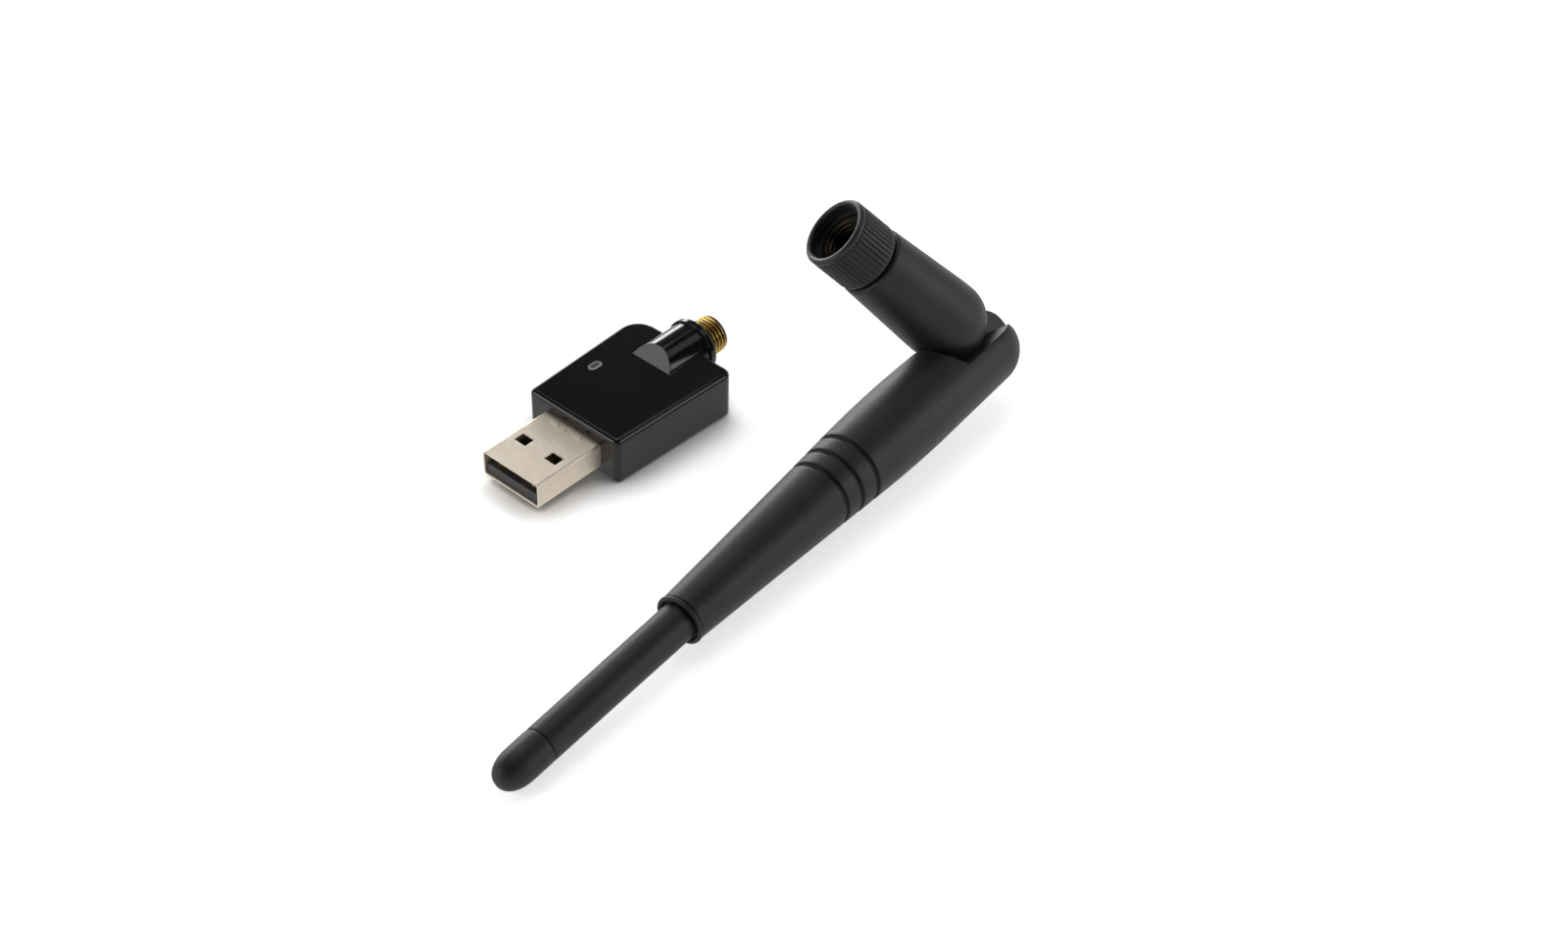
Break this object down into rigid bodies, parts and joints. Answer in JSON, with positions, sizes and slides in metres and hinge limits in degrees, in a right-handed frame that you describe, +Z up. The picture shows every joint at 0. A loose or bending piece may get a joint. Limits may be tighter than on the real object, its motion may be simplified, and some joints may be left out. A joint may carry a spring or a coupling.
{
  "type": "usb wifi adapter",
  "caption": "Small USB wireless network stick with a threaded antenna jack, and its hinged screw-on whip antenna lying beside it.",
  "frame": {"origin": "centre of the USB plug's front opening", "axes": "+X along the stick from the plug's mouth to the antenna jack, +Z up out of the top face, +Y to the left seen from the plug"},
  "size_m": [0.1181, 0.0553, 0.037],
  "materials": {
    "housing_gloss_black": "gloss",
    "nickel_shell": "nickel plated, fine grain",
    "tongue_plastic": "satin",
    "gold_plate": "gold plated, bright",
    "board_green": "solder mask, satin",
    "chip_black": "matte",
    "can_metal": "satin",
    "ceramic_tan": "satin",
    "chip_grey": "satin",
    "led_lens": "clear lens",
    "window_frosted": "frosted",
    "ptfe_white": "satin",
    "soft_touch_black": "soft touch, fine grain",
    "brass_tube": "drawn",
    "cable_jacket": "satin",
    "copper_wire": "drawn copper",
    "pin_steel": "satin",
    "washer_plastic": "satin",
    "nut_black": "satin",
    "nut_brass": "darkened",
    "gasket_rubber": "matte"
  },
  "bodies": {
    "adapter": {"upper_shell": "housing_gloss_black", "lower_shell": "housing_gloss_black", "usb_shield": "nickel_shell", "usb_insulator": "tongue_plastic", "usb_contacts": "gold_plate", "circuit_board": "board_green", "wifi_chip": "chip_black", "crystal": "can_metal", "chip_capacitors": "ceramic_tan", "chip_inductors": "chip_grey", "regulator": "chip_black", "memory_chip": "chip_black", "status_led": "led_lens", "light_pipe": "window_frosted", "antenna_jack_body": "gold_plate", "jack_dielectric": "ptfe_white", "jack_center_contact": "gold_plate"},
    "whip": {"whip_sleeve": "soft_touch_black", "whip_rod": "soft_touch_black", "tip_cap": "soft_touch_black", "radiator_tube": "brass_tube", "whip_cable": "cable_jacket", "radiator_wire": "copper_wire", "radiator_ferrule": "brass_tube", "friction_washer": "washer_plastic"},
    "knuckle": {"knuckle_housing": "soft_touch_black", "hinge_pin": "pin_steel"},
    "connector": {"plug_body": "gold_plate", "plug_dielectric": "ptfe_white", "plug_center_contact": "gold_plate", "base_cable": "cable_jacket", "crimp_ferrule": "brass_tube"},
    "nut": {"nut_sleeve": "nut_black", "nut_insert": "nut_brass", "retaining_ring": "pin_steel", "nut_gasket": "gasket_rubber"}
  },
  "joints": [
    {"name": "antenna_turn", "type": "hinge", "parent": "adapter", "child": "whip", "pos_m": [0.07517, -0.0172, 0], "axis": [0, 0, 1], "range_deg": [0, 176.2]},
    {"name": "tilt", "type": "hinge", "parent": "whip", "child": "knuckle", "pos_m": [0.06933, -0.03483, 0.0039], "axis": [-0.0325, 0.8473, -0.5301], "range_deg": [0, 118.94]},
    {"name": "swivel", "type": "hinge", "parent": "knuckle", "child": "connector", "pos_m": [0.06933, -0.03483, 0.0039], "axis": [-0.546, 0.4292, 0.7195], "range_deg": [-180, 180]},
    {"name": "nut_spin", "type": "hinge", "parent": "connector", "child": "nut", "pos_m": [0.06933, -0.03483, 0.0039], "axis": [-0.546, 0.4292, 0.7195], "continuous": true}
  ]
}
